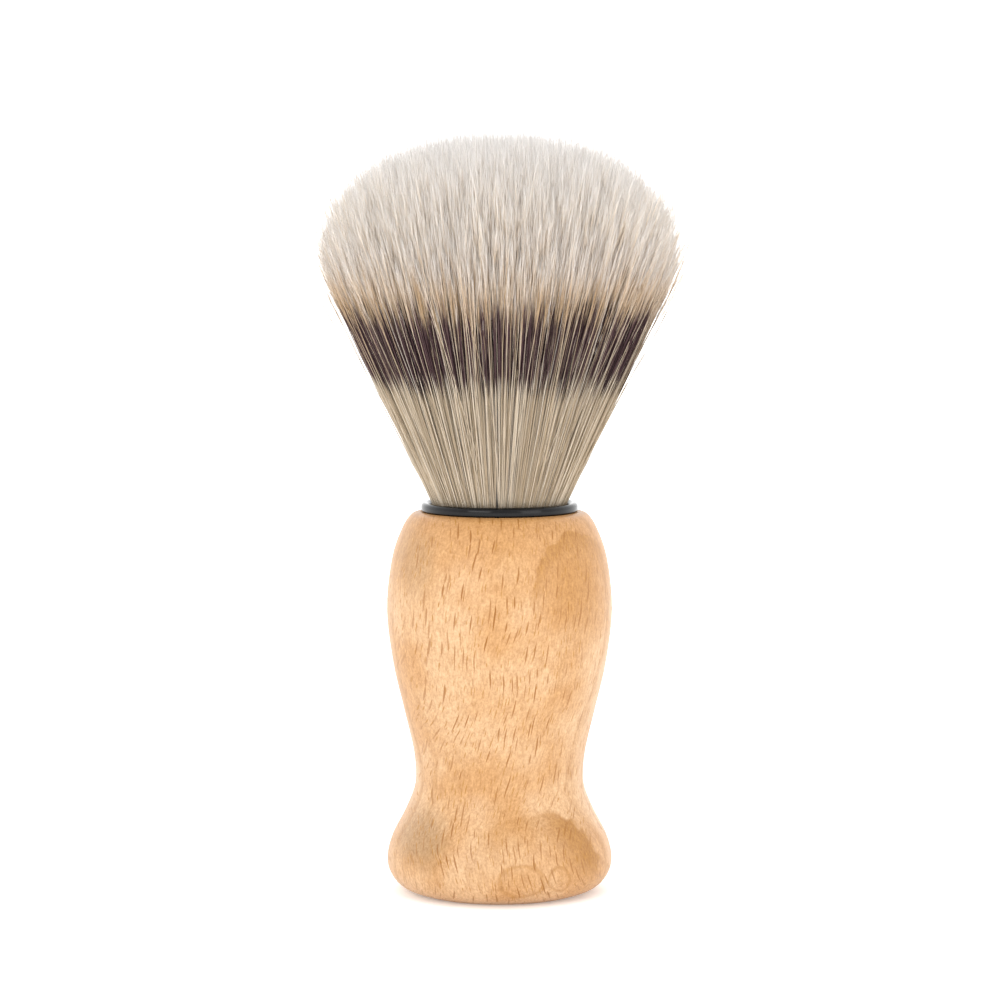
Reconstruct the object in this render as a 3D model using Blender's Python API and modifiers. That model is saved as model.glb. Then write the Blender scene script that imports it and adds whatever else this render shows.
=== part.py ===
"""A shaving brush that stands on its foot: a turned beech handle, a black ferrule cup glued into its
socket, and a knot of bristles bound with thread and set in resin inside the cup.

Metres, +Z up along the brush's axis, origin at the centre of the foot. The bristles are fixed in the
ferrule and bend above its mouth. They are modelled as a fixed root, a neck that bends front to back, a
body that bends side to side on the neck, and a ring of tufts that splay outwards from the body.
"""

import math

import bmesh
import bpy
from mathutils import Matrix

# ---- driving dimensions ----
BRUSH_HEIGHT = 0.112
HANDLE_HEIGHT = 0.0565
MOUTH_Z = 0.0579  # the ferrule's rim, where the bristles come out
MOUTH_RADIUS = 0.01005  # of the bristles there

# ---- handle: (radius, height) that its turned outline passes through, from the top to the foot ----
HANDLE_OUTLINE = [
    (0.0120, 0.0565), (0.0131, 0.0560), (0.0144, 0.0540), (0.0159, 0.0495),
    (0.01665, 0.0420), (0.0157, 0.0340), (0.0142, 0.0275), (0.0128, 0.0215),
    (0.0124, 0.0176), (0.0127, 0.0152), (0.0140, 0.0120), (0.0159, 0.0083),
    (0.01665, 0.0052), (0.0162, 0.0029), (0.0146, 0.0010), (0.0120, 0.0),
]
POINTS_PER_SPAN = 2
FOOT_DISH_RADIUS = 0.0058
FOOT_DISH_DEPTH = 0.0007
SOCKET_RADIUS = 0.0113
SOCKET_DEPTH = 0.0160
DRILL_POINT_RADIUS = 0.0012
DRILL_POINT_DEPTH = 0.0010

# ---- ferrule, glue, resin and binding, inside the socket ----
RIM_RADIUS = 0.0116
RIM_WALL = 0.00125
SLEEVE_RADIUS = 0.01075
SLEEVE_WALL = 0.0006
CUP_DEPTH = 0.0164  # from the rim down to the underside of its floor
CUP_FLOOR = 0.0010
CLEARANCE = 0.0001  # between pieces that lie against each other
GLUE_FILM = 0.00025
GLUE_HEIGHT = 0.0130
GLUE_FLOOR = 0.0008
RESIN_RADIUS = 0.0099
RESIN_HEIGHT = 0.0074
RESIN_DISH_DEPTH = 0.0029
WAIST_RADIUS = 0.0084  # of the bristles where the thread binds them
WAIST_TOP_Z = 0.0555
THREAD_RADIUS = 0.0003
THREAD_PITCH = 0.00085
THREAD_TURNS = 4.5
THREAD_STEPS_PER_TURN = 24

# ---- bristle knot ----
FLARE = 0.474  # how much wider the knot gets for each unit of height
STRAIGHT_HEIGHT = 0.024  # above this the bristles curl inwards a little
CURL = 4.0  # per metre
TIP_DOME_RADIUS = 0.0262
TIP_DOME_Z = 0.094  # where the dome of tips is widest
TIP_DOME_POWER = 2.4
ROOT_SPHERE = 0.0150  # the root ends in a sphere about the mouth's centre
NECK_SPHERE = 0.0195  # and so does the neck
BODY_HEIGHT = 0.0240  # of the body's flat top above the mouth
GAP = 0.0003  # between solids that move past each other
TUFT_RELIEF = 0.0011  # off the foot of a tuft's inner face, so that it clears the next ring as it leans
INNER_TUFTS = 6
OUTER_TUFTS = 12
TUFT_COUNT = 1 + INNER_TUFTS + OUTER_TUFTS
CORE_SHARE = math.sqrt(1 / TUFT_COUNT)  # these two shares of the radius give every tuft the same area
INNER_SHARE = math.sqrt((1 + INNER_TUFTS) / TUFT_COUNT)

# ---- smoothness ----
SHARP_ANGLE = 40
HANDLE_STEPS = 56
ROUND_STEPS = 48
SPHERE_POINTS = 9
DOME_POINTS = 7
PATH_POINTS = 4
RIM_POINTS = 9


def clear_scene():
    for old in list(bpy.data.objects):
        bpy.data.objects.remove(old)


def make_material(name, colour, roughness, metallic=0.0):
    material = bpy.data.materials.new(name)
    material.use_nodes = True
    shader = material.node_tree.nodes["Principled BSDF"]
    shader.inputs["Base Color"].default_value = (*colour, 1)
    shader.inputs["Roughness"].default_value = roughness
    shader.inputs["Metallic"].default_value = metallic
    return material


def add_to(collection, name, data, material):
    piece = bpy.data.objects.new(name, data)
    collection.objects.link(piece)
    if not data.materials:
        data.materials.append(material)
    return piece


def add_pivot(collection, name, height, parent=None):
    pivot = bpy.data.objects.new(name, None)
    pivot.empty_display_size = 0.01
    pivot.location = (0, 0, height)
    pivot.parent = parent
    collection.objects.link(pivot)
    return pivot


# ---- outlines, as lists of (radius, height) ----
def smooth_through(points, steps):
    """Points on a Catmull-Rom curve through the given ones, steps to each span."""
    ends = [points[0], *points, points[-1]]
    curve = []
    for before, start, end, after in zip(ends, ends[1:], ends[2:], ends[3:]):
        for i in range(steps):
            t = i / steps
            curve.append(tuple(
                0.5 * (2 * s + (e - b) * t + (2 * b - 5 * s + 4 * e - a) * t**2
                       + (3 * s - b - 3 * e + a) * t**3)
                for b, s, e, a in zip(before, start, end, after)
            ))
    return curve + [points[-1]]


def arc(centre, radius, start, end, count):
    """Points on an arc from one angle to another, in degrees from the radius axis."""
    angles = [math.radians(start + (end - start) * i / (count - 1)) for i in range(count)]
    return [(centre[0] + radius * math.cos(a), centre[1] + radius * math.sin(a)) for a in angles]


def knot_radius(height):
    """Radius of the knot at a height above the mouth, along its outermost bristles."""
    curl = CURL * max(0.0, height - STRAIGHT_HEIGHT) ** 2
    return MOUTH_RADIUS + FLARE * height - curl


def dome_radius(height):
    """Radius of the dome of tips at a height above the mouth."""
    share = (MOUTH_Z + height - TIP_DOME_Z) / (BRUSH_HEIGHT - TIP_DOME_Z)
    return TIP_DOME_RADIUS * max(0.0, 1 - max(0.0, share) ** 2) ** (1 / TIP_DOME_POWER)


def tip_height(share):
    """Height above the mouth at which a bristle at this share of the knot's radius meets the dome."""
    low, high = STRAIGHT_HEIGHT, BRUSH_HEIGHT - MOUTH_Z
    for _ in range(40):
        middle = (low + high) / 2
        if share * knot_radius(middle) < dome_radius(middle):
            low = middle
        else:
            high = middle
    return low


def sphere_edge_angle(radius):
    """Angle above the mouth's plane, in degrees, at which the knot's flare meets a sphere of this radius."""
    low, high = 0.0, 90.0
    for _ in range(40):
        middle = math.radians((low + high) / 2)
        if radius * math.cos(middle) > knot_radius(radius * math.sin(middle)):
            low = math.degrees(middle)
        else:
            high = math.degrees(middle)
    return low


def sphere_line(radius):
    """From the axis down a sphere about the mouth's centre to the knot's flare."""
    points = arc((0, 0), radius, 90, sphere_edge_angle(radius), SPHERE_POINTS)
    return [(0, radius), *points[1:]]


def turned(collection, name, outline, material, steps=ROUND_STEPS):
    """A solid of revolution. The outline runs down its outer side and ends on the axis."""
    mesh = bpy.data.meshes.new(name)
    edges = [(i, i + 1) for i in range(len(outline) - 1)]
    mesh.from_pydata([(r, 0, z) for r, z in outline], edges, [])
    piece = add_to(collection, name, mesh, material)
    screw = piece.modifiers.new("Turn", "SCREW")
    screw.axis = "Z"
    screw.steps = steps
    screw.render_steps = steps
    screw.use_merge_vertices = True
    screw.merge_threshold = 0.00001
    screw.use_smooth_shade = True
    return piece


# ---- handle and what is fixed in it ----
def build_handle(collection, material):
    socket_z = HANDLE_HEIGHT - SOCKET_DEPTH
    outline = [(0, socket_z - DRILL_POINT_DEPTH), (DRILL_POINT_RADIUS, socket_z)]
    outline += [(SOCKET_RADIUS, socket_z), (SOCKET_RADIUS, HANDLE_HEIGHT)]
    outline += smooth_through(HANDLE_OUTLINE, POINTS_PER_SPAN)
    outline += [(FOOT_DISH_RADIUS, 0), (FOOT_DISH_RADIUS * 0.6, FOOT_DISH_DEPTH * 0.8)]
    outline += [(0, FOOT_DISH_DEPTH)]
    return turned(collection, "handle", outline, material, HANDLE_STEPS)


def build_ferrule(collection, material):
    bore = SLEEVE_RADIUS - SLEEVE_WALL
    floor_z = MOUTH_Z - CUP_DEPTH
    bead = RIM_WALL / 2
    rim = arc((RIM_RADIUS - bead, MOUTH_Z - bead), bead, 180, 0, RIM_POINTS)
    outline = [(0, floor_z + CUP_FLOOR), (bore, floor_z + CUP_FLOOR)]
    outline += [(bore, MOUTH_Z - 2 * RIM_WALL), *rim]
    outline += [(RIM_RADIUS, HANDLE_HEIGHT + CLEARANCE), (SLEEVE_RADIUS, HANDLE_HEIGHT + CLEARANCE)]
    outline += [(SLEEVE_RADIUS, floor_z), (0, floor_z)]
    return turned(collection, "ferrule", outline, material)


def build_glue(collection, material):
    outer = SLEEVE_RADIUS + CLEARANCE + GLUE_FILM
    bottom = HANDLE_HEIGHT - SOCKET_DEPTH + CLEARANCE
    floor = bottom + GLUE_FLOOR
    outline = [(0, floor), (outer - GLUE_FILM, floor), (outer - GLUE_FILM, bottom + GLUE_HEIGHT)]
    outline += [(outer, bottom + GLUE_HEIGHT), (outer, bottom), (0, bottom)]
    return turned(collection, "socket_glue", outline, material)


def build_resin(collection, material):
    bottom = resin_bottom()
    top = bottom + RESIN_HEIGHT
    dish = top - RESIN_DISH_DEPTH
    dish_radius = WAIST_RADIUS + GAP
    outline = [(0, dish), (dish_radius, dish), (dish_radius, top)]
    outline += [(RESIN_RADIUS, top), (RESIN_RADIUS, bottom), (0, bottom)]
    return turned(collection, "resin_plug", outline, material)


def resin_bottom():
    return MOUTH_Z - CUP_DEPTH + CUP_FLOOR + CLEARANCE


def build_thread(collection, material):
    """Thread wound round the waist of the bristles, just above the resin."""
    radius = WAIST_RADIUS + THREAD_RADIUS + 2 * CLEARANCE
    start = resin_bottom() + RESIN_HEIGHT + THREAD_RADIUS + GAP
    curve = bpy.data.curves.new("binding_thread", "CURVE")
    curve.dimensions = "3D"
    curve.bevel_depth = THREAD_RADIUS
    curve.bevel_resolution = 2
    curve.use_fill_caps = True
    count = int(THREAD_TURNS * THREAD_STEPS_PER_TURN) + 1
    spline = curve.splines.new("POLY")
    spline.points.add(count - 1)
    for i, point in enumerate(spline.points):
        turns = i / THREAD_STEPS_PER_TURN
        angle = 2 * math.pi * turns
        point.co = (radius * math.cos(angle), radius * math.sin(angle), start + THREAD_PITCH * turns, 1)
    return add_to(collection, "binding_thread", curve, material)


# ---- bristles: heights in these outlines are above the mouth ----
def build_root(collection, material):
    """The bristles' fixed part: set in the resin, bound by the thread and flaring out of the mouth."""
    bottom = resin_bottom() + RESIN_HEIGHT - RESIN_DISH_DEPTH + GAP - MOUTH_Z
    inside = RESIN_RADIUS
    outline = sphere_line(ROOT_SPHERE)
    outline += [(MOUTH_RADIUS, 0), (inside, -0.0008), (inside, WAIST_TOP_Z - MOUTH_Z + 0.0009)]
    outline += [(WAIST_RADIUS, WAIST_TOP_Z - MOUTH_Z), (WAIST_RADIUS, bottom), (0, bottom)]
    root = turned(collection, "bristle_root", outline, material)
    root.location = (0, 0, MOUTH_Z)
    return root


def build_neck(collection, material, pivot):
    outline = sphere_line(NECK_SPHERE) + sphere_line(ROOT_SPHERE + GAP)[::-1]
    neck = turned(collection, "bristle_neck", outline, material)
    neck.parent = pivot
    return neck


def build_body(collection, material, pivot):
    outline = [(0, BODY_HEIGHT), (knot_radius(BODY_HEIGHT), BODY_HEIGHT)]
    outline += sphere_line(NECK_SPHERE + GAP)[::-1]
    body = turned(collection, "bristle_body", outline, material)
    body.parent = pivot
    return body


def bristle_line(share, offset):
    """Up the path of a bristle at this share of the radius, moved sideways by offset, to the dome."""
    base, tip = BODY_HEIGHT + GAP, tip_height(share)
    heights = [base + (tip - base) * i / (PATH_POINTS - 1) for i in range(PATH_POINTS)]
    return [(share * knot_radius(h) + offset, h) for h in heights]


def tip_line(inner, outer):
    """Along the dome, between the tips of bristles at two shares of the radius, both left out."""
    shares = [inner + (outer - inner) * i / (DOME_POINTS - 1) for i in range(1, DOME_POINTS - 1)]
    return [(s * knot_radius(tip_height(s)), tip_height(s)) for s in shares]


def build_centre_tuft(collection, material, pivot):
    side = bristle_line(CORE_SHARE, -GAP / 2)
    dome = [(0, BRUSH_HEIGHT - MOUTH_Z), *tip_line(0, CORE_SHARE)]
    outline = dome + side[::-1] + [(0, side[0][1])]
    tuft = turned(collection, "tuft_centre", outline, material)
    tuft.parent = pivot
    return tuft


def tuft_mesh(name, inner, outer, sector):
    """A wedge of the knot between two shares of the radius. Its origin is on its hinge, at the foot of
    its outer face, with +X outwards."""
    up = bristle_line(inner, GAP / 2)
    up[0] = (up[0][0] + TUFT_RELIEF, up[0][1])
    down = bristle_line(outer, -GAP / 2)[::-1]
    outline = up + tip_line(inner, outer) + down
    gap_angle = GAP / ((up[0][0] + down[-1][0]) / 2)
    shape = bmesh.new()
    corners = [shape.verts.new((r, 0, h)) for r, h in outline]
    shape.faces.new(corners)
    angle = sector - gap_angle
    bmesh.ops.rotate(shape, verts=shape.verts, matrix=Matrix.Rotation(-angle / 2, 3, "Z"))
    bmesh.ops.spin(
        shape, geom=shape.verts[:] + shape.edges[:] + shape.faces[:],
        cent=(0, 0, 0), axis=(0, 0, 1), dvec=(0, 0, 0), angle=angle,
        steps=round(ROUND_STEPS * sector / (2 * math.pi)), use_duplicate=False,
    )
    bmesh.ops.recalc_face_normals(shape, faces=shape.faces)
    hinge = down[-1]
    bmesh.ops.translate(shape, verts=shape.verts, vec=(-hinge[0], 0, -hinge[1]))
    mesh = bpy.data.meshes.new(name)
    shape.to_mesh(mesh)
    shape.free()
    mesh.shade_smooth()
    mesh.set_sharp_from_angle(angle=math.radians(SHARP_ANGLE))
    return mesh, hinge


def build_tuft_ring(collection, material, pivot, ring, count, inner, outer):
    """A ring of equal tufts that share one mesh, each with its origin on its hinge."""
    sector = 2 * math.pi / count
    mesh, hinge = tuft_mesh(f"tuft_{ring}", inner, outer, sector)
    for number in range(count):
        tuft = add_to(collection, f"tuft_{ring}_{number + 1:02d}", mesh, material)
        angle = sector * number
        tuft.location = (hinge[0] * math.cos(angle), hinge[0] * math.sin(angle), hinge[1])
        tuft.rotation_euler = (0, 0, angle)
        tuft.parent = pivot


def main():
    clear_scene()
    brush = bpy.data.collections.new("shaving_brush")
    bpy.context.scene.collection.children.link(brush)

    beech = make_material("beech", (0.86, 0.58, 0.33), 0.42)
    plastic = make_material("black_plastic", (0.012, 0.012, 0.013), 0.22)
    glue = make_material("glue", (0.72, 0.66, 0.50), 0.4)
    resin = make_material("resin", (0.55, 0.40, 0.20), 0.25)
    thread = make_material("thread", (0.80, 0.76, 0.66), 0.8)
    bristle = make_material("bristle", (0.74, 0.66, 0.53), 0.6)

    build_handle(brush, beech)
    build_ferrule(brush, plastic)
    build_glue(brush, glue)
    build_resin(brush, resin)
    build_thread(brush, thread)
    build_root(brush, bristle)

    front_back_pivot = add_pivot(brush, "front_back_pivot", MOUTH_Z)
    side_pivot = add_pivot(brush, "side_pivot", 0, front_back_pivot)
    build_neck(brush, bristle, front_back_pivot)
    build_body(brush, bristle, side_pivot)
    build_centre_tuft(brush, bristle, side_pivot)
    build_tuft_ring(brush, bristle, side_pivot, "inner", INNER_TUFTS, CORE_SHARE, INNER_SHARE)
    build_tuft_ring(brush, bristle, side_pivot, "outer", OUTER_TUFTS, INNER_SHARE, 1.0)


main()
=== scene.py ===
"""The look of a shaving brush: a varnished beech handle, a black ferrule and a knot of bristles."""

import math

import bmesh
import bpy
import numpy as np
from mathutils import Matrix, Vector


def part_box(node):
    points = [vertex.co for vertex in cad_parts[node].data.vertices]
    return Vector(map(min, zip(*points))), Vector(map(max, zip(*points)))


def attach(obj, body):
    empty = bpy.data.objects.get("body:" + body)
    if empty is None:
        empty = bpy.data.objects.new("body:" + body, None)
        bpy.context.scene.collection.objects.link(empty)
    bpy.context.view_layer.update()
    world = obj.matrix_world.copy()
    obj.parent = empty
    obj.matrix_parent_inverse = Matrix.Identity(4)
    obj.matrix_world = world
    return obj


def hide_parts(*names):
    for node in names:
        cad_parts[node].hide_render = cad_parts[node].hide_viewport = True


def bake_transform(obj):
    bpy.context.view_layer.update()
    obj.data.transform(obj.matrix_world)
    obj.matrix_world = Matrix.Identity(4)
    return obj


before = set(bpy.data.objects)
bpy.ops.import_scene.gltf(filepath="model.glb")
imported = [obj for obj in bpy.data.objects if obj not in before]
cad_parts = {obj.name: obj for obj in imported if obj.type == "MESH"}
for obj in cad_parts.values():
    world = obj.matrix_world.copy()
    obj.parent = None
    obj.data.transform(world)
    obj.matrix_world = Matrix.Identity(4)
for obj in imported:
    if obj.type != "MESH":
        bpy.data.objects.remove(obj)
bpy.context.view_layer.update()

TURNED_SIDES = 128

# ---- knot, as the frame has it. A rise is a height above the mouth. ----
MOUTH_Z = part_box("ferrule")[1].z  # the ferrule's rim, where the bristles come out
TOP_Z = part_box("tuft_centre")[1].z
MOUTH_RADIUS = 0.01005
FLARE = 0.474  # how fast the radius grows with the rise
STRAIGHT_RISE = 0.024  # where the side starts to curl in
CURL = 4.0
DOME_RADIUS = 0.0262
DOME_Z = 0.094
DOME_POWER = 2.4
INNER_TUFTS = 6
OUTER_TUFTS = 12
CORE_SHARE = math.sqrt(1 / 19)
INNER_SHARE = math.sqrt(7 / 19)

# ---- bends of the knot ----
ROOT_RISE = -0.0012  # inside the ferrule, where the roots start
NECK_RISE = 0.009  # between the mouth and here the roots bend front to back
BODY_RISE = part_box("bristle_body")[1].z - MOUTH_Z  # up to here the middles bend to the side

# ---- bristles ----
BRISTLES = 17500
SHOWN_SHARE = 0.80  # bristles nearer the axis than this start at BODY_RISE
BRISTLE_RADIUS = 0.000056
WILD_SHARE = 0.11  # bristles that stray from their neighbours
SHORT_SHARE = 0.12
COLUMNS = 128  # of the colour map of one tuft
UNDYED_COLUMNS = 12
GOLDEN_ANGLE = math.pi * (3 - math.sqrt(5))
PARTING_ANGLE = math.radians(268)
PARTING_WIDTH = 0.00022
ROOT_SEGMENTS = 6
MIDDLE_SEGMENTS = 7
INNER_SEGMENTS = 5
OUTER_SEGMENTS = 7
TIP_SEGMENTS = 2
LONGEST_TIPS = (0.006, 0.010, 0.014)  # of the three split ends
CORE_SIDES = 96


# ---- shader maths ----
class Number:
    """A number in a material. Arithmetic on it adds Math nodes."""

    def __init__(self, paint, socket):
        self.paint = paint
        self.socket = socket

    def math(self, operation, *others):
        values = dict(enumerate((self, *others)))
        node = self.paint.node("ShaderNodeMath", {"operation": operation}, values)
        return Number(self.paint, node.outputs[0])

    def __add__(self, other):
        return self.math("ADD", other)

    __radd__ = __add__

    def __mul__(self, other):
        return self.math("MULTIPLY", other)

    __rmul__ = __mul__

    def __sub__(self, other):
        return self.math("SUBTRACT", other)

    def __rsub__(self, other):
        return (self * -1).math("ADD", other)

    def __truediv__(self, other):
        return self.math("DIVIDE", other)

    def __abs__(self):
        return self.math("ABSOLUTE")

    def part(self):
        """What is left over from the whole number below it."""
        return self.math("FRACT")

    def between(self, low, high):
        """0 below low, 1 above high and smooth in between. A low above high turns it round."""
        settings = {"interpolation_type": "SMOOTHSTEP"}
        if low < high:
            values = {"Value": self, "From Min": low, "From Max": high}
            return Number(self.paint, self.paint.node("ShaderNodeMapRange", settings, values).outputs[0])
        return 1 - self.between(high, low)


class Paint:
    """A material on a Principled shader."""

    def __init__(self, name, **values):
        self.material = bpy.data.materials.new(name)
        self.material.use_nodes = True
        self.tree = self.material.node_tree
        self.shader = self.tree.nodes["Principled BSDF"]
        names = {key: key.replace("_", " ").title().replace("Ior", "IOR") for key in values}
        self.fill(self.shader, {names[key]: value for key, value in values.items()})

    def fill(self, node, values):
        """Sets a node's sockets by name or number, to numbers, colours or links."""
        for key, value in values.items():
            if isinstance(value, Number):
                value = value.socket
            if isinstance(value, bpy.types.NodeSocket):
                self.tree.links.new(value, node.inputs[key])
            elif isinstance(value, tuple) and len(node.inputs[key].default_value) == 4:
                node.inputs[key].default_value = (*value[:3], 1)
            else:
                node.inputs[key].default_value = value

    def node(self, kind, settings=None, values=None):
        """A new node of a kind, with its settings made before its sockets are filled."""
        node = self.tree.nodes.new(kind)
        for key, value in (settings or {}).items():
            setattr(node, key, value)
        self.fill(node, values or {})
        return node

    def place(self):
        """Object coordinates in millimetres, as x, y and z."""
        values = {0: self.node("ShaderNodeTexCoord").outputs["Object"], "Scale": 1000}
        return self.split(self.node("ShaderNodeVectorMath", {"operation": "SCALE"}, values).outputs[0])

    def split(self, vector):
        parts = self.node("ShaderNodeSeparateXYZ", None, {0: vector}).outputs
        return [Number(self, part) for part in parts]

    def vector(self, x, y, z):
        return self.node("ShaderNodeCombineXYZ", None, {0: x, 1: y, 2: z}).outputs[0]

    def carried(self, name):
        """A number that the mesh carries at each of its points."""
        return Number(self, self.node("ShaderNodeAttribute", {"attribute_name": name}).outputs["Fac"])

    def noise(self, vector, scale, detail=2.0, roughness=0.5):
        values = {"Vector": vector, "Scale": scale, "Detail": detail, "Roughness": roughness}
        return Number(self, self.node("ShaderNodeTexNoise", None, values).outputs["Fac"])

    def mix(self, first, second, factor, blend="MIX"):
        settings = {"data_type": "RGBA", "blend_type": blend}
        return self.node("ShaderNodeMix", settings, {0: factor, 6: first, 7: second}).outputs[2]

    def tinted(self, colour, factor):
        """A colour made lighter or darker by a number."""
        grey = self.vector(factor, factor, factor)
        return self.mix(colour, grey, 1.0, "MULTIPLY")

    def bump(self, height, distance, strength=1.0):
        values = {"Height": height, "Distance": distance, "Strength": strength}
        self.fill(self.shader, {"Normal": self.node("ShaderNodeBump", None, values).outputs[0]})


# ---- materials ----
def beech_flecks(paint, along, depth, height, spacing, half_width, half_height, share):
    """Rays cut across by the turned surface: thin pointed flecks that stand along the grain."""
    cell = paint.vector(along / spacing[0], depth / spacing[1], height / spacing[2])
    cells = paint.node("ShaderNodeTexVoronoi", {"feature": "F1"}, {"Vector": cell, "Scale": 1.0})
    ends = {0: cell, 1: cells.outputs["Position"]}
    offset = paint.node("ShaderNodeVectorMath", {"operation": "SUBTRACT"}, ends)
    across, inward, upward = paint.split(offset.outputs[0])
    chance, size, strength = paint.split(cells.outputs["Color"])
    reach = (size * 0.7 + 0.4) * (half_height / spacing[2])
    from_middle = (upward / reach).math("POWER", 2.0) + (inward * 2.3).math("POWER", 4.0)
    shape = (1 - from_middle - abs(across) * (spacing[0] / half_width)).between(0.0, 0.35)
    return shape * chance.between(1 - share, 1.05 - share) * (strength * 0.4 + 0.6)


def oval(x, z, centre, size, wobble):
    """0 in the middle of an oval on the front of the handle and 1 at its edge."""
    across = ((x - centre[0]) / size[0]).math("POWER", 2.0)
    upward = ((z - centre[1]) / size[1]).math("POWER", 2.0)
    return (across + upward).math("SQRT") + wobble


def beech_figures(x, z, wobble):
    """Amber arches on the front, where the turning cuts year rings open: at the foot and the shoulder."""
    foot = oval(x, z, (4.9, 3.2), (9.9, 10.2), wobble * 0.5)
    figures = foot.between(0.55, 0.96) * foot.between(1.05, 0.97) * (x.between(2.0, 11.0) * 0.8 + 0.2)
    figures = figures * z.between(1.5, 7.0)
    for centre, size in (((3.1, 4.0), (3.4, 2.5)), ((8.7, 4.1), (1.6, 1.9))):
        eye = oval(x, z, centre, size, wobble)
        figures = figures.math("MAXIMUM", eye.between(0.7, 0.95) * eye.between(1.15, 0.98) * 0.45)
    shoulder = oval(x, z, (11.0, 44.8), (6.2, 9.6), wobble * 0.6)
    arch = shoulder.between(0.6, 0.96) * shoulder.between(1.03, 0.97) * z.between(41.0, 50.0) * 0.7
    return figures.math("MAXIMUM", arch)


def beech_rings(paint, x, y, z, place, cloud):
    """The dark late wood of each year ring, as it shows at the sides and the back."""
    waves = (cloud - 0.5) * 3.2 + (paint.noise(place, 0.32, 1.0) - 0.5) * 0.9
    depth = y * -0.965 + x * 0.26 + z * 0.02 + waves
    ring = (depth / 3.9 + 0.33).part()
    return ring.between(0.5, 0.93) * ring.between(1.0, 0.93) * y.between(-12.0, -4.0)


def make_beech():
    """Varnished beech. Its grain leans over between the foot and the shoulder."""
    paint = Paint("beech", coat_weight=0.25, coat_roughness=0.3, coat_ior=1.5, specular_ior_level=0.35)
    x, y, z = paint.place()
    place = paint.vector(x, y, z)
    drift = (paint.noise(place, 0.045, 1.0) - 0.5) * 8 + (paint.noise(place, 0.16, 1.0) - 0.5) * 1.1
    lean = z.math("SMOOTH_MIN", 45.0, 12.0).math("SMOOTH_MAX", 13.0, 8.0) * 0.22
    lean = lean + (12 - z).math("SMOOTH_MAX", 0.0, 6.0) * 0.2
    along = x - lean + drift
    facing = y * y / (x * x + y * y) * 0.7 + 0.3  # fewer rays are cut across at the sides
    rays = beech_flecks(paint, along, y, z, (1.05, 2.4, 3.9), 0.14, 2.2, 0.8) * facing
    small_rays = beech_flecks(paint, along + 31, y, z + 17, (0.5, 1.6, 1.7), 0.09, 0.85, 0.5)
    fibre = paint.noise(paint.vector(along, y, z * 0.28), 2.6, 4.0, 0.8)
    grit = paint.noise(place, 3.2, 1.0)
    coarse = paint.noise(paint.vector(along, y, z * 0.12), 0.75, 3.0, 0.65)
    cloud = paint.noise(place, 0.11, 2.0)

    late_wood = beech_rings(paint, x, y, z, place, cloud)
    front = y.between(-1.0, -6.0)
    wobble = (paint.noise(place, 0.4, 2.0) - 0.5) * 0.45
    figures = beech_figures(x, z, wobble) * front
    foot_stain = oval(x, z, (-11.5, 9.5), (5.0, 5.5), wobble).between(1.1, 0.3) * 0.75
    shoulder_stain = oval(x, z, (-12.5, 50.0), (4.0, 6.5), wobble).between(1.1, 0.3) * 0.5
    foot_glow = oval(x, z, (12.0, 9.0), (5.0, 5.0), wobble).between(1.25, 0.2)
    shoulder_glow = oval(x, z, (11.5, 47.0), (6.0, 10.0), wobble).between(1.25, 0.2)

    pale, warm, grey = (0.625, 0.395, 0.215), (0.52, 0.27, 0.095), (0.37, 0.225, 0.105)
    amber, dark = (0.36, 0.155, 0.014), (0.26, 0.09, 0.002)
    colour = paint.mix(pale, warm, cloud.between(0.35, 0.68) * 0.8)
    # amber figure on the right shoulder, and towards the top a warmer, darker colour that is painted shade
    # under the overhanging knot
    shoulder_figure_and_top_shade = (shoulder_glow * front * 0.8).math("MAXIMUM", z.between(42.0, 57.0) * 0.9)
    colour = paint.mix(colour, warm, shoulder_figure_and_top_shade)
    colour = paint.mix(colour, amber, (shoulder_glow * 0.35).math("MAXIMUM", foot_glow * 0.3) * front)
    colour = paint.mix(colour, grey, foot_stain.math("MAXIMUM", shoulder_stain) * front)
    colour = paint.mix(colour, amber, late_wood * 0.4)
    colour = paint.mix(colour, amber, figures * 0.85)
    colour = paint.mix(colour, amber, coarse.between(0.5, 0.8) * 0.3)
    speckle = paint.mix((0.62, 0.50, 0.34), (1.22, 1.28, 1.36), fibre * 1.6 + grit * 0.6 - 0.6)
    colour = paint.mix(colour, speckle, 1.0, "MULTIPLY")
    colour = paint.mix(colour, amber, small_rays * 0.85)
    colour = paint.mix(colour, dark, rays * 0.95)
    paint.fill(paint.shader, {"Base Color": colour, "Roughness": fibre * 0.12 + 0.44})
    paint.bump(fibre * 0.5 - rays * 0.8, 0.00003, 0.35)
    return paint.material


def make_black_plastic():
    paint = Paint("black_plastic", specular_ior_level=0.22)
    x, y, z = paint.place()
    haze = paint.noise(paint.vector(x, y, z), 0.9, 3.0)
    paint.fill(paint.shader, {
        "Base Color": paint.mix((0.004, 0.004, 0.0045), (0.008, 0.008, 0.009), haze),
        "Roughness": haze * 0.1 + 0.1,
    })
    return paint.material


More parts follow.
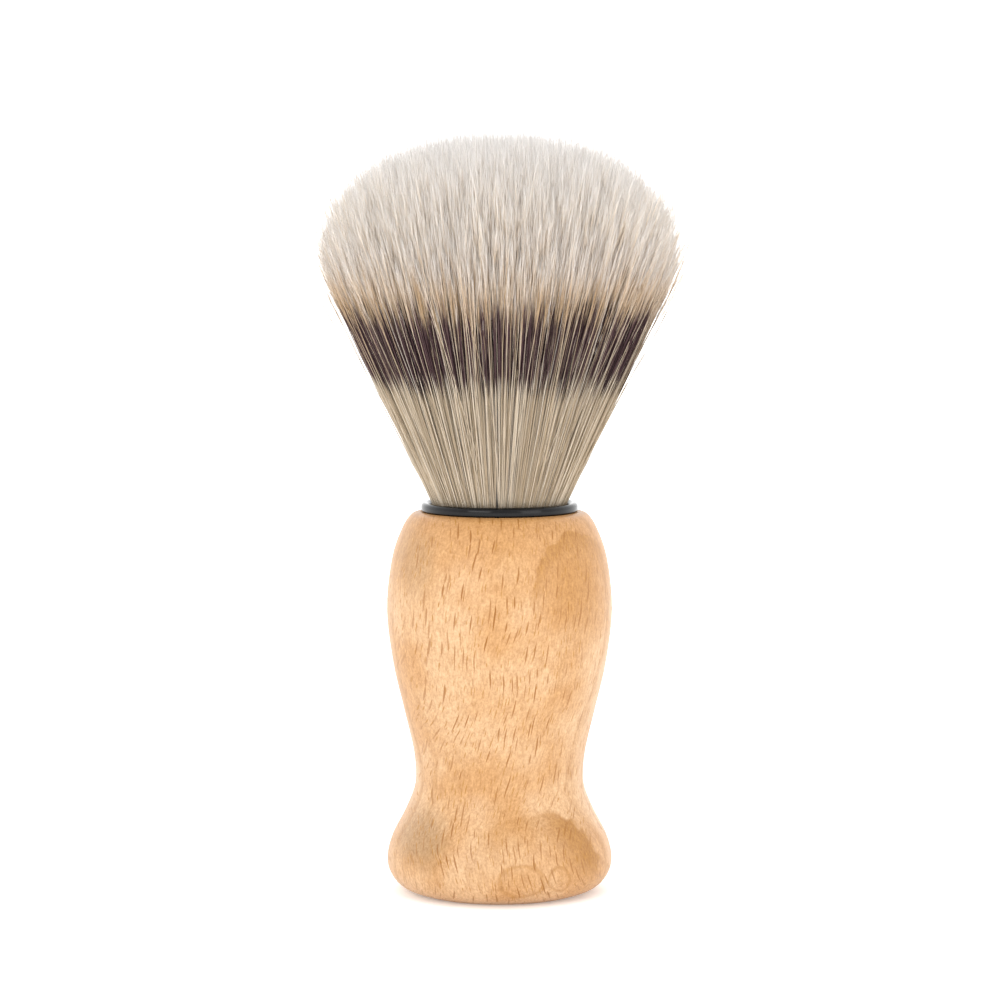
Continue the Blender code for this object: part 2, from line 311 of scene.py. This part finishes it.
def make_bristle():
    """Cream at the root, dark in a band, cream and gold above it and nearly white at the split tips."""
    paint = Paint("bristle", roughness=0.65, specular_ior_level=0.12)
    rise = paint.carried("rise") * 1000
    left = paint.carried("left") * 1000
    tone = paint.carried("tone")
    other = (tone * 7.31).part()
    third = (tone * 23.7).part()

    root = paint.mix((0.46, 0.36, 0.245), (0.67, 0.58, 0.465), other.between(0.3, 0.95))
    upper = paint.mix((0.53, 0.365, 0.215), (0.69, 0.56, 0.43), third.between(0.1, 0.7))
    colour = paint.mix(root, upper, rise.between(20.0, 30.0))
    colour = paint.mix(colour, (0.865, 0.755, 0.62), rise.between(30.0, 44.0) * 0.75)
    colour = paint.mix(colour, (0.95, 0.91, 0.87), rise.between(41.0, 54.0) * 0.6)
    colour = paint.mix(colour, (0.93, 0.915, 0.91), left.between(4.5, 0.3) * 0.7)
    colour = paint.tinted(colour, other * 0.14 + 0.9)
    # bristles deep in the knot, and the core, are made paler below their tips: painted light that lifts the
    # shade between the bristles
    inside = paint.carried("depth") * left.between(4.0, 11.0)
    colour = paint.mix(colour, (0.965, 0.93, 0.88), inside * 0.8)

    band_bottom = (other - 0.5) * 3.6
    band_top = (third - 0.5) * 4.4
    band = (rise - band_bottom).between(16.4, 18.6) * (rise - band_top).between(30.2, 27.0)
    dark = paint.mix((0.024, 0.012, 0.013), (0.125, 0.072, 0.076), other)
    colour = paint.mix(colour, dark, band * (tone.between(0.1, 0.26) * 0.9 + 0.1))
    paint.fill(paint.shader, {"Base Color": colour})
    return paint.material


def make_plain(name, first, second, scale, roughness):
    """Glue, resin or thread: one colour that varies a little."""
    paint = Paint(name, roughness=roughness)
    x, y, z = paint.place()
    spots = paint.noise(paint.vector(x, y, z), scale, 3.0)
    paint.fill(paint.shader, {"Base Color": paint.mix(first, second, spots.between(0.3, 0.7))})
    paint.bump(spots, 0.00002, 0.3)
    return paint.material


# ---- turned pieces ----
def smooth_through(points, steps):
    """Points on a Catmull-Rom curve through the given ones, steps to each span."""
    ends = [points[0], *points, points[-1]]
    curve = []
    for before, start, end, after in zip(ends, ends[1:], ends[2:], ends[3:]):
        for i in range(steps):
            t = i / steps
            curve.append(tuple(
                0.5 * (2 * s + (e - b) * t + (2 * b - 5 * s + 4 * e - a) * t**2
                       + (3 * s - b - 3 * e + a) * t**3)
                for b, s, e, a in zip(before, start, end, after)
            ))
    return curve + [points[-1]]


def arc(centre, radius, start, end, count):
    """Points on an arc from one angle to another, in degrees."""
    angles = [math.radians(start + (end - start) * i / (count - 1)) for i in range(count)]
    return [(centre[0] + radius * math.cos(a), centre[1] + radius * math.sin(a)) for a in angles]


def finished(name, shape, material, sharp=35):
    """A bmesh made into an object with smooth shading, sharp at its real edges."""
    mesh = bpy.data.meshes.new(name)
    shape.to_mesh(mesh)
    shape.free()
    mesh.shade_smooth()
    mesh.set_sharp_from_angle(angle=math.radians(sharp))
    mesh.materials.append(material)
    piece = bpy.data.objects.new(name, mesh)
    bpy.context.scene.collection.objects.link(piece)
    return piece


def spun(outline, steps):
    """A bmesh turned from an outline that starts and ends on the axis."""
    shape = bmesh.new()
    points = [shape.verts.new((r, 0, z)) for r, z in outline]
    for start, end in zip(points, points[1:]):
        shape.edges.new((start, end))
    bmesh.ops.spin(
        shape, geom=shape.verts[:] + shape.edges[:], cent=(0, 0, 0), axis=(0, 0, 1), dvec=(0, 0, 0),
        angle=2 * math.pi, steps=steps, use_merge=True, use_duplicate=False,
    )
    bmesh.ops.remove_doubles(shape, verts=shape.verts, dist=1e-6)
    bmesh.ops.recalc_face_normals(shape, faces=shape.faces)
    return shape


def make_handle(material):
    """The turned handle, with the blind socket for the ferrule and a shallow dish under its foot."""
    side = [
        (0.0120, 0.0565), (0.0131, 0.0560), (0.0144, 0.0540), (0.0159, 0.0495),
        (0.01665, 0.0420), (0.0157, 0.0340), (0.0142, 0.0275), (0.0128, 0.0215),
        (0.0124, 0.0176), (0.0127, 0.0152), (0.0140, 0.0120), (0.0159, 0.0083),
        (0.01665, 0.0052), (0.0162, 0.0029), (0.0146, 0.0010), (0.0120, 0.0),
    ]
    socket = [(0, 0.0395), (0.0012, 0.0405), (0.0113, 0.0405), (0.0113, 0.0565)]
    dish = [
        (0.0058, 0.0), (0.0054, 0.0002), (0.0042, 0.00045), (0.0025, 0.0006),
        (0.0009, 0.00066), (0.0008, 0.0013), (0, 0.0019),
    ]
    outline = socket + smooth_through(side, 5) + dish
    handle = finished("handle_wood", spun(outline, TURNED_SIDES), material)
    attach(handle, "handle")
    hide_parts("handle")


def make_ferrule(material):
    """The cup, with a round bead along its rim that rests on the handle's top."""
    bead = 0.000625
    outline = [(0, 0.0425), (0.01015, 0.0425), (0.01015, 0.0554)]
    outline += arc((0.0116 - bead, MOUTH_Z - bead), bead, 180, 0, 13)
    outline += arc((0.01145, 0.05675), 0.00015, 0, -90, 4)
    outline += [(0.01075, 0.0566), (0.01075, 0.0415), (0, 0.0415)]
    ferrule = finished("ferrule_cup", spun(outline, TURNED_SIDES), material)
    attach(ferrule, "handle")
    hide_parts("ferrule")


# ---- bristles ----
def knot_radius(rise):
    """Radius of the knot at a height above the mouth."""
    return MOUTH_RADIUS + FLARE * rise - CURL * np.maximum(0, rise - STRAIGHT_RISE) ** 2


def dome_radius(rise):
    """Radius of the dome of tips at a height above the mouth."""
    share = np.maximum(0, (MOUTH_Z + rise - DOME_Z) / (TOP_Z - DOME_Z))
    return DOME_RADIUS * np.maximum(0, 1 - share**2) ** (1 / DOME_POWER)


def tip_rise(share):
    """Height above the mouth at which a bristle at this share of the knot's radius meets the dome."""
    low = np.full(share.shape, STRAIGHT_RISE)
    high = np.full(share.shape, TOP_Z - MOUTH_Z)
    for _ in range(30):
        middle = (low + high) / 2
        below = share * knot_radius(middle) < dome_radius(middle)
        low, high = np.where(below, middle, low), np.where(below, high, middle)
    return low


class Bristles:
    """The lines that the bristles follow, as arrays with one entry for each bristle."""

    def __init__(self, count):
        chance = np.random.default_rng(11)
        number = np.arange(count)
        self.share = np.sqrt((number + 0.5) / count)  # 0 on the axis, 1 at the knot's side
        turn = number * GOLDEN_ANGLE % (2 * math.pi) + chance.normal(0, 0.006, count)
        self.angle = turn + 0.022 * np.sin(9 * turn + 1.3) + 0.012 * np.sin(31 * turn + 0.4)
        from_parting = (self.angle - PARTING_ANGLE + math.pi) % (2 * math.pi) - math.pi
        self.parted = np.sign(from_parting) * np.exp(-((from_parting / 0.05) ** 2)) * PARTING_WIDTH
        outer = np.clip((self.share - 0.86) / 0.14, 0, 1)
        self.wild = chance.random(count) < WILD_SHARE
        spread = np.where(self.wild, 0.06, 0.011)
        self.lean_out = chance.normal(0, 1, count) * spread
        kept_in = np.where(self.wild, 0.45, 0.65)
        self.lean_out = np.where(self.lean_out > 0, self.lean_out * (1 - kept_in * outer), self.lean_out)
        self.lean_round = chance.normal(0, 1, count) * spread * 1.5
        self.wave = chance.random((count, 2)) * 2 * math.pi
        self.wave_length = chance.uniform(0.016, 0.034, count)
        self.wave_size = chance.uniform(0.2, 1.0, count) * 0.00035
        self.thick = chance.uniform(0.75, 1.2, count)
        short = chance.random(count) < SHORT_SHARE
        self.tip = tip_rise(self.share) + np.clip(chance.normal(0, 0.0011, count), -0.002, 0.0021)
        self.tip -= np.where(short, chance.uniform(0.001, 0.005, count), 0)
        self.tuft, self.column = self.sorted_into_tufts(chance)
        tones = chance.uniform(0.1, 1, (1 + INNER_TUFTS + OUTER_TUFTS, COLUMNS))
        tones[:, -UNDYED_COLUMNS:] *= 0.09
        self.tone = tones[self.tuft, self.column]
        self.depth = 1 - np.clip((self.share - 0.82) / 0.12, 0, 1)  # 1 inside the knot, 0 at its side

    def sorted_into_tufts(self, chance):
        """The tuft of each bristle, and its column in that tuft's colour map. The wild ones come last."""
        count = len(self.share)
        share = self.share + chance.normal(0, 0.012, count)
        turn = (self.angle + chance.normal(0, 0.03, count) / self.share) / (2 * math.pi)
        inner = 1 + np.round(turn * INNER_TUFTS).astype(int) % INNER_TUFTS
        outer = 1 + INNER_TUFTS + np.round(turn * OUTER_TUFTS).astype(int) % OUTER_TUFTS
        tuft = np.where(share < CORE_SHARE, 0, np.where(share < INNER_SHARE, inner, outer))
        column = np.zeros(count, int)
        for number in range(1 + INNER_TUFTS + OUTER_TUFTS):
            members = np.flatnonzero(tuft == number)
            members = members[np.argsort(self.wild[members], kind="stable")]
            column[members] = np.arange(len(members)) * COLUMNS // len(members)
        return tuft, column

    def at(self, chosen, rise):
        """Where the chosen bristles are at heights above the mouth, one row of heights for each."""
        share, lean_out, lean_round = self.share[chosen], self.lean_out[chosen], self.lean_round[chosen]
        free = np.maximum(rise, 0)
        growth = (free / 0.04) ** 1.5 * self.wave_size[chosen][:, None]
        phase = free / self.wave_length[chosen][:, None] * 2 * math.pi
        out = share[:, None] * knot_radius(rise) + lean_out[:, None] * free
        out = out + growth * np.sin(phase + self.wave[chosen, 0][:, None])
        round_ = lean_round[:, None] * free + growth * np.sin(phase * 0.8 + self.wave[chosen, 1][:, None])
        round_ = round_ + self.parted[chosen][:, None] * np.exp(-free / 0.008)
        cosine, sine = np.cos(self.angle[chosen])[:, None], np.sin(self.angle[chosen])[:, None]
        return np.stack([out * cosine - round_ * sine, out * sine + round_ * cosine, MOUTH_Z + rise], axis=-1)


def hair_shape(segments, pointed):
    """A three-sided tube, one unit tall for each segment and one unit in radius, closed at both ends."""
    shape = bmesh.new()
    bmesh.ops.create_circle(shape, cap_ends=True, segments=3, radius=1.0)
    bmesh.ops.reverse_faces(shape, faces=shape.faces)
    top = shape.faces[:]
    for step in range(segments):
        made = bmesh.ops.extrude_face_region(shape, geom=top, use_keep_orig=step == 0)
        moved = [g for g in made["geom"] if isinstance(g, bmesh.types.BMVert)]
        bmesh.ops.translate(shape, verts=moved, vec=(0, 0, 1))
        top = [g for g in made["geom"] if isinstance(g, bmesh.types.BMFace)]
    if pointed:
        bmesh.ops.pointmerge(shape, verts=moved, merge_co=(0, 0, segments))
    bmesh.ops.recalc_face_normals(shape, faces=shape.faces)
    shape.verts.ensure_lookup_table()
    shape.verts.index_update()
    points = np.array([v.co for v in shape.verts])
    faces = [[v.index for v in face.verts] for face in shape.faces]
    shape.free()
    return points, faces


class Fur:
    """Many copies of hair_shape in one mesh, each bent along its own line."""

    def __init__(self):
        self.points, self.corners, self.sizes, self.capped, self.maps = [], [], [], [], []
        self.carried = {"rise": [], "left": [], "tone": [], "depth": []}
        self.count = 0

    def add(self, segments, pointed, line, radius, rise, left, tone, depth, column, columns):
        """line is (hairs, segments + 1, 3); radius, rise and left are (hairs, segments + 1).

        rise is the height above the mouth and left the length up to the tip. The rings stand square
        to the line, so the stretches of a bristle meet without a step.
        """
        points, faces = hair_shape(segments, pointed)
        hairs = len(line)
        ring = np.round(points[:, 2]).astype(int)
        upward = np.gradient(line, axis=1)
        upward /= np.linalg.norm(upward, axis=2, keepdims=True)
        across = np.array([1.0, 0, 0]) - upward * upward[..., :1]
        across /= np.linalg.norm(across, axis=2, keepdims=True)
        inward = np.cross(upward, across)
        offset = points[:, :1] * across[:, ring] + points[:, 1:2] * inward[:, ring]
        place = line[:, ring] + radius[:, ring, None] * offset
        self.points.append(place.reshape(-1, 3))
        self.capped.append(np.tile((ring == 0) | ((ring == segments) & (not pointed)), hairs))
        for name, values in (("rise", rise[:, ring]), ("left", left[:, ring])):
            self.carried[name].append(values.ravel())
        self.carried["tone"].append(np.repeat(tone, len(points)))
        self.carried["depth"].append(np.repeat(depth, len(points)))

        side = np.round(np.arctan2(points[:, 1], points[:, 0]) / (2 * math.pi) * 3).astype(int) % 3
        corner = np.concatenate([np.array(face) for face in faces])
        turn = np.concatenate([self.sides(side[face]) for face in faces])
        steps = np.arange(hairs)[:, None] * len(points) + self.count
        self.corners.append((corner[None] + steps).ravel())
        self.sizes.append(np.tile([len(face) for face in faces], hairs))
        u = (column[:, None] + 0.1 + 0.8 * turn[None] / 3) / columns
        v = np.tile((ring[corner] / segments * 0.98 + 0.01)[None], (hairs, 1))
        self.maps.append(np.stack([u, v], axis=-1).reshape(-1, 2))
        self.count += hairs * len(points)

    @staticmethod
    def sides(side):
        """A face's columns round the tube, running on to 3 where it closes."""
        side = side.astype(float)
        if side.max() == 2 and side.min() == 0 and len(side) == 4:
            side[side == 0] = 3
        return side

    def sewn(self, name, material):
        """The mesh as an object, smooth but for the edges of its cut ends."""
        mesh = bpy.data.meshes.new(name)
        corners, sizes = np.concatenate(self.corners), np.concatenate(self.sizes)
        mesh.vertices.add(self.count)
        mesh.vertices.foreach_set("co", np.concatenate(self.points).ravel())
        mesh.loops.add(len(corners))
        mesh.loops.foreach_set("vertex_index", corners)
        mesh.polygons.add(len(sizes))
        mesh.polygons.foreach_set("loop_start", np.concatenate([[0], np.cumsum(sizes)[:-1]]))
        mesh.update(calc_edges=True)
        mesh.shade_smooth()
        ends = np.zeros(2 * len(mesh.edges), np.int32)
        mesh.edges.foreach_get("vertices", ends)
        sharp = np.concatenate(self.capped)[ends.reshape(-1, 2)].all(axis=1)
        mesh.attributes.new("sharp_edge", "BOOLEAN", "EDGE").data.foreach_set("value", sharp)
        for key, values in self.carried.items():
            layer = mesh.attributes.new(key, "FLOAT", "POINT")
            layer.data.foreach_set("value", np.concatenate(values).astype(np.float32))
        mesh.uv_layers.new(name="OFBake").uv.foreach_set("vector", np.concatenate(self.maps).ravel())
        mesh.materials.append(material)
        piece = bpy.data.objects.new(name, mesh)
        bpy.context.scene.collection.objects.link(piece)
        return piece


def heights(low, high, segments):
    """Evenly spaced heights from low to high, one row for each bristle."""
    share = np.linspace(0, 1, segments + 1)[None]
    return low[:, None] + (high - low)[:, None] * share


def bristle_radius(bristles, chosen, rise):
    """Thinner with the height, and tapered over the last few millimetres."""
    left = bristles.tip[chosen][:, None] - rise
    taper = 0.28 + 0.72 * np.clip(left / 0.007, 0, 1) ** 0.7
    return BRISTLE_RADIUS * bristles.thick[chosen][:, None] * (1 - rise * 9) * taper


def add_stretch(fur, bristles, chosen, low, high, segments, pointed, columns):
    """The chosen bristles from one height to another."""
    rise = heights(low, high, segments)
    first = bristles.column[chosen].min()
    fur.add(
        segments, pointed, bristles.at(chosen, rise), bristle_radius(bristles, chosen, rise), rise,
        bristles.tip[chosen][:, None] - rise, bristles.tone[chosen], bristles.depth[chosen],
        bristles.column[chosen] - first, columns,
    )


def add_split_tips(fur, bristles, chosen, columns, chance):
    """Three finer hairs that branch off each bristle some way below its tip."""
    for longest in LONGEST_TIPS:
        count = len(chosen)
        start = bristles.tip[chosen] - chance.uniform(0.5, 1.0, count) * longest
        start = np.maximum(start, BODY_RISE + 0.001)
        end = bristles.tip[chosen] + chance.normal(-0.0004, 0.0007, count)
        rise = heights(start, end, TIP_SEGMENTS)
        line = bristles.at(chosen, rise)
        turn = chance.random(count) * 2 * math.pi
        reach = chance.uniform(0.05, 0.15, count) * (end - start)
        away = np.stack([np.cos(turn) * reach, np.sin(turn) * reach, 0 * reach], axis=-1)
        line = line + away[:, None] * np.array([0, 0.42, 1])[None, :, None]
        radius = np.tile(BRISTLE_RADIUS * np.array([0.5, 0.42, 0.2])[None], (count, 1))
        left = np.maximum(bristles.tip[chosen][:, None] - rise, 0) * 0.7
        fur.add(
            TIP_SEGMENTS, True, line, radius, rise, left, bristles.tone[chosen], bristles.depth[chosen],
            bristles.column[chosen], columns,
        )


def make_core(material, name, low, high, steps=10):
    """The dense inside of the knot, behind its outer bristles."""
    rises = [low + (high - low) * i / steps for i in range(steps + 1)]
    share = SHOWN_SHARE + 0.05
    slope = [(float(share * knot_radius(np.array(r))), MOUTH_Z + r) for r in rises]
    outline = [(0, slope[-1][1]), *slope[::-1], (0, slope[0][1])]
    core = finished(name, spun(outline, CORE_SIDES), material)
    mesh = core.data
    place = np.array([v.co for v in mesh.vertices])
    turn = np.arctan2(place[:, 1], place[:, 0]) / (2 * math.pi)
    side = np.round(turn * CORE_SIDES).astype(int) % CORE_SIDES
    chance = np.random.default_rng(5)
    values = {
        "rise": place[:, 2] - MOUTH_Z,
        "left": np.full(len(place), 0.03),
        "tone": chance.uniform(0.1, 0.4, CORE_SIDES)[side],
        "depth": np.ones(len(place)),
    }
    for key, value in values.items():
        mesh.attributes.new(key, "FLOAT", "POINT").data.foreach_set("value", value.astype(np.float32))
    return core


def make_tuft(bristles, number, name, material, chance):
    """The upper stretch of one tuft's bristles, with their split ends."""
    members = np.flatnonzero(bristles.tuft == number)
    segments = INNER_SEGMENTS if number <= INNER_TUFTS else OUTER_SEGMENTS
    fur = Fur()
    low = np.full(len(members), BODY_RISE)
    add_stretch(fur, bristles, members, low, bristles.tip[members], segments, True, COLUMNS)
    add_split_tips(fur, bristles, members, COLUMNS, chance)
    tuft = fur.sewn(f"bristles_{name}", material)
    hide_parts(f"tuft_{name}")
    if number == 0:
        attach(tuft, "knot")
    else:
        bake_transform(tuft)


def make_stretch(bristles, members, name, material, span, segments):
    """One stretch below the tufts of the bristles that show at the knot's side."""
    low, high = span
    fur = Fur()
    add_stretch(
        fur, bristles, members, np.full(len(members), low), np.full(len(members), high),
        segments, False, COLUMNS - bristles.column[members].min(),
    )
    stretch = fur.sewn(name, material)
    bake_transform(stretch)


def make_knot(material):
    bristles = Bristles(BRISTLES)
    chance = np.random.default_rng(23)
    names = ["centre"]
    names += [f"inner_{i + 1:02d}" for i in range(INNER_TUFTS)]
    names += [f"outer_{i + 1:02d}" for i in range(OUTER_TUFTS)]
    shown = bristles.share > SHOWN_SHARE
    for number, name in enumerate(names):
        make_tuft(bristles, number, name, material, chance)
        if number > INNER_TUFTS:
            members = np.flatnonzero((bristles.tuft == number) & shown)
            make_stretch(
                bristles, members, f"bristle_roots_{name}", material,
                (ROOT_RISE, NECK_RISE), ROOT_SEGMENTS,
            )
            make_stretch(
                bristles, members, f"bristle_middles_{name}", material,
                (NECK_RISE, BODY_RISE), MIDDLE_SEGMENTS,
            )

    core = make_core(material, "knot_core_root", -0.004, NECK_RISE)
    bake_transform(core)
    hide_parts("bristle_root", "bristle_neck")
    core = make_core(material, "knot_core_body", NECK_RISE, BODY_RISE)
    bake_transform(core)
    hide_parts("bristle_body")


# ---- studio ----
def make_light(name, place, size, power):
    """A soft rectangular light that faces the middle of the brush."""
    light = bpy.data.lights.new(name, "AREA")
    light.shape = "RECTANGLE"
    light.size, light.size_y = size
    light.energy = power
    lamp = bpy.data.objects.new(name, light)
    bpy.context.scene.collection.objects.link(lamp)
    lamp.location = place
    aim = Vector((0, 0, 0.06)) - Vector(place)
    lamp.rotation_euler = aim.to_track_quat("-Z", "Y").to_euler()


def make_world():
    """White all round, and brighter at the back, which lights the edges of the brush."""
    world = bpy.data.worlds.new("studio")
    world.use_nodes = True
    tree = world.node_tree
    seen = tree.nodes.new("ShaderNodeLightPath").outputs["Is Camera Ray"]
    towards = tree.nodes.new("ShaderNodeSeparateXYZ")
    tree.links.new(tree.nodes.new("ShaderNodeTexCoord").outputs["Generated"], towards.inputs[0])
    glow = tree.nodes.new("ShaderNodeMapRange")
    for name, value in {"From Min": -0.8, "From Max": 0.8, "To Min": 0.92, "To Max": 2.0}.items():
        glow.inputs[name].default_value = value
    tree.links.new(towards.outputs["Y"], glow.inputs["Value"])
    strength = tree.nodes.new("ShaderNodeMath")
    strength.operation = "MAXIMUM"
    tree.links.new(seen, strength.inputs[0])
    tree.links.new(glow.outputs[0], strength.inputs[1])
    background = tree.nodes["Background"]
    background.inputs["Color"].default_value = (1, 1, 1, 1)
    tree.links.new(strength.outputs[0], background.inputs["Strength"])
    bpy.context.scene.world = world


def make_floor():
    """A pale floor that glows a little near the brush and more with the distance, until it meets the white
    behind it.
    """
    shape = bmesh.new()
    bmesh.ops.create_grid(shape, x_segments=1, y_segments=1, size=3)
    pale = (0.93, 0.93, 0.93)
    paint = Paint("floor", base_color=pale, roughness=0.9, specular_ior_level=0.0, emission_strength=1.0)
    x, y, _ = paint.place()
    away = (x * x + y * y).math("SQRT").between(60.0, 600.0)
    paint.fill(paint.shader, {"Emission Color": paint.mix((0.2, 0.2, 0.2), (0.5, 0.5, 0.5), away)})
    finished("floor", shape, paint.material)


def make_camera():
    camera = bpy.data.cameras.new("camera")
    camera.lens = 134.7
    camera.clip_start = 0.01
    eye = bpy.data.objects.new("camera", camera)
    bpy.context.scene.collection.objects.link(eye)
    eye.location = (0.00007, -0.55, 0.105)
    eye.rotation_euler = (math.radians(90 - 4.87), 0, 0)
    bpy.context.scene.camera = eye


def make_studio():
    bpy.context.scene.view_settings.view_transform = "Standard"
    make_world()
    make_floor()
    make_light("key", (-0.42, -0.72, 0.36), (0.5, 0.5), 2.4)
    make_light("fill", (0.65, -0.60, 0.25), (0.5, 0.7), 2.15)
    make_camera()


def main():
    make_studio()
    make_handle(make_beech())
    make_ferrule(make_black_plastic())
    make_knot(make_bristle())
    plain = {
        "socket_glue": make_plain("glue", (0.66, 0.58, 0.40), (0.78, 0.72, 0.56), 0.8, 0.4),
        "resin_plug": make_plain("resin", (0.46, 0.30, 0.12), (0.60, 0.42, 0.20), 0.3, 0.25),
        "binding_thread": make_plain("thread", (0.62, 0.56, 0.44), (0.86, 0.82, 0.72), 4.0, 0.8),
    }
    for name, material in plain.items():
        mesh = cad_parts[name].data
        mesh.materials.clear()
        mesh.materials.append(material)


main()
